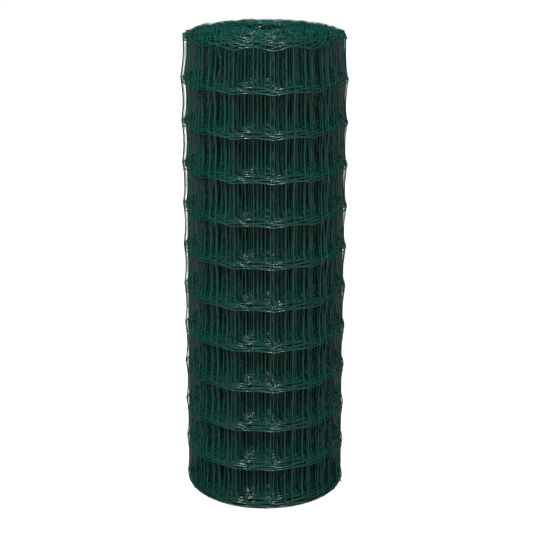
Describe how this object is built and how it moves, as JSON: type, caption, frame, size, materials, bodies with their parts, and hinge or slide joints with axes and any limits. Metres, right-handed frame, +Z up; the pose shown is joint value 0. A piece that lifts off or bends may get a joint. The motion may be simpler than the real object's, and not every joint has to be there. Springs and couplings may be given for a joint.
{
  "type": "roll of welded wire fencing",
  "caption": "Upright roll of green plastic-coated welded wire mesh: crimped line wires and straight cross wires wound in a tight spiral around an open bore.",
  "frame": {"origin": "centre of the roll's lower end, on the floor", "axes": "+Z up along the roll's axis, -Y towards the side seen in the picture"},
  "size_m": [0.3914, 0.3905, 1.1025],
  "materials": {
    "coated_wire": "smooth dark green PVC coat on galvanised steel wire, satin to gloss"
  },
  "bodies": {
    "root": {"mesh_roll": "coated_wire"}
  },
  "joints": []
}
